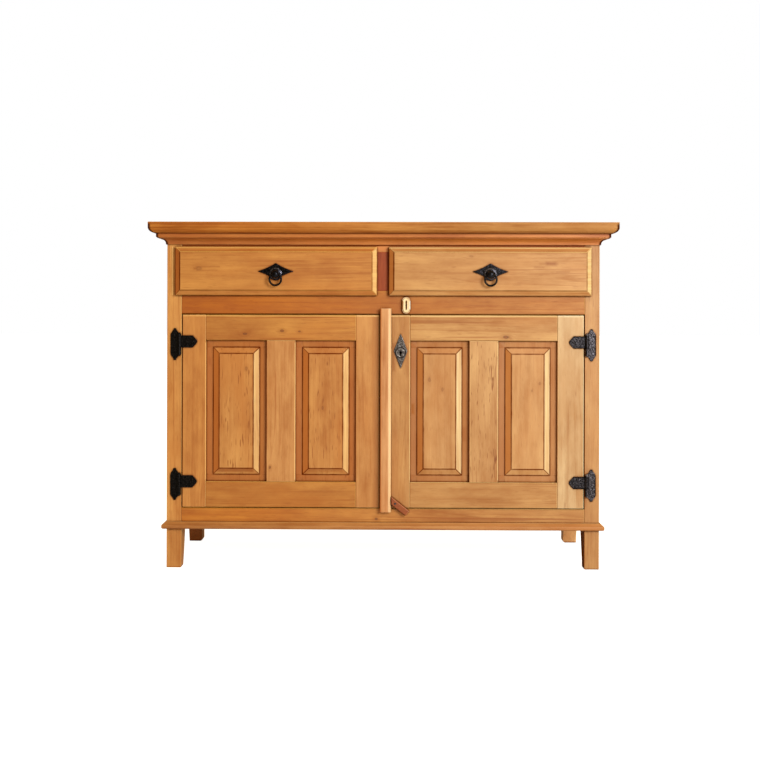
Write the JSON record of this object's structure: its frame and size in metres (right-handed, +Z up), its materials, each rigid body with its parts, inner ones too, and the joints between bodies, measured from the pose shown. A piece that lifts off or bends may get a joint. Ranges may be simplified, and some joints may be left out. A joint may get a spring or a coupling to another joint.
{
  "type": "buffet cabinet",
  "caption": "Rustic pine buffet cabinet with overlay drawers, ring pulls, framed doors with fielded panels on surface hinges, and short tapered legs.",
  "frame": {"origin": "on the floor, under the middle of the crown's box", "axes": "+X to the right as seen from the front, +Y towards the back, +Z up"},
  "size_m": [1.2, 0.465, 0.89],
  "materials": {
    "pine_top": "honey-stained waxed pine",
    "pine_moulding": "honey-stained waxed pine",
    "pine_frame": "honey-stained waxed pine",
    "pine_door": "honey-stained waxed pine",
    "pine_panel": "honey-stained waxed pine",
    "pine_drawer": "honey-stained waxed pine with cathedral figure",
    "pine_inner": "bare planed pine",
    "pale_wood": "pale turned wood",
    "black_iron": "black forged iron",
    "screw_steel": "blackened steel"
  },
  "bodies": {
    "cabinet": {"top_board": "pine_top", "cornice_front": "pine_moulding", "cornice_sides": "pine_moulding", "front_post_left": "pine_frame", "front_post_right": "pine_frame", "rear_post_left": "pine_frame", "rear_post_right": "pine_frame", "top_front_rail": "pine_frame", "drawer_rail": "pine_frame", "lower_front_rail": "pine_frame", "drawer_divider": "pine_frame", "side_rails": "pine_frame", "side_panels": "pine_panel", "back_rails": "pine_inner", "back_boards": "pine_inner", "bottom_board": "pine_inner", "shelf": "pine_inner", "cleats": "pine_inner", "door_stop": "pine_inner", "drawer_runners": "pine_inner", "drawer_guides": "pine_inner", "base_moulding_front": "pine_moulding", "base_moulding_sides": "pine_moulding", "hinge_post_plates": "black_iron", "hinge_pins": "black_iron", "carcass_screws": "screw_steel"},
    "left_door": {"left_hinge_stile": "pine_door", "left_meeting_stile": "pine_door", "left_door_rails": "pine_door", "left_muntin": "pine_door", "left_panels": "pine_panel", "left_hinge_leaves": "black_iron", "left_door_screws": "screw_steel", "slide_bolt_plate": "black_iron", "lock_keeper": "black_iron"},
    "right_door": {"right_hinge_stile": "pine_door", "right_meeting_stile": "pine_door", "right_door_rails": "pine_door", "right_muntin": "pine_door", "right_panels": "pine_panel", "meeting_strip": "pine_door", "right_hinge_leaves": "black_iron", "right_door_screws": "screw_steel", "escutcheon": "black_iron", "lock_case": "black_iron"},
    "left_drawer": {"left_drawer_front": "pine_drawer", "left_drawer_box": "pine_inner", "left_drawer_bottom": "pine_inner", "left_pull_plate": "black_iron"},
    "right_drawer": {"right_drawer_front": "pine_drawer", "right_drawer_box": "pine_inner", "right_drawer_bottom": "pine_inner", "right_pull_plate": "black_iron"},
    "left_ring": {"left_pull_ring": "black_iron"},
    "right_ring": {"right_pull_ring": "black_iron"},
    "oval_button": {"upper_turn_button": "pale_wood"},
    "stick_button": {"lower_turn_button": "pine_moulding"},
    "bolt_of_lock": {"lock_bolt": "screw_steel"},
    "bolt_of_left_door": {"slide_bolt": "black_iron"}
  },
  "joints": [
    {"name": "left_door_hinge", "type": "hinge", "parent": "cabinet", "child": "left_door", "pos_m": [-0.5245, -0.195, 0.4], "axis": [0, 0, -1], "range_deg": [0, 165]},
    {"name": "right_door_hinge", "type": "hinge", "parent": "cabinet", "child": "right_door", "pos_m": [0.5245, -0.195, 0.4], "axis": [0, 0, 1], "range_deg": [0, 165]},
    {"name": "left_drawer_slide", "type": "slide", "parent": "cabinet", "child": "left_drawer", "axis": [0, -1, 0], "range_m": [0, 0.3]},
    {"name": "right_drawer_slide", "type": "slide", "parent": "cabinet", "child": "right_drawer", "axis": [0, -1, 0], "range_m": [0, 0.3]},
    {"name": "left_ring_pivot", "type": "hinge", "parent": "left_drawer", "child": "left_ring", "pos_m": [-0.275, -0.2208, 0.7585], "axis": [-1, 0, 0], "range_deg": [0, 95]},
    {"name": "right_ring_pivot", "type": "hinge", "parent": "right_drawer", "child": "right_ring", "pos_m": [0.275, -0.2208, 0.7585], "axis": [-1, 0, 0], "range_deg": [0, 95]},
    {"name": "oval_button_pivot", "type": "hinge", "parent": "cabinet", "child": "oval_button", "pos_m": [0.06, -0.195, 0.6785], "axis": [0, 1, 0], "range_deg": [-90, 90]},
    {"name": "stick_button_pivot", "type": "hinge", "parent": "right_door", "child": "stick_button", "pos_m": [0.0325, -0.196, 0.1688], "axis": [0, 1, 0], "range_deg": [0, 50]},
    {"name": "lock_bolt_slide", "type": "slide", "parent": "right_door", "child": "bolt_of_lock", "axis": [-1, 0, 0], "range_m": [0, 0.01]},
    {"name": "slide_bolt_slide", "type": "slide", "parent": "left_door", "child": "bolt_of_left_door", "axis": [0, 0, 1], "range_m": [0, 0.014]}
  ]
}
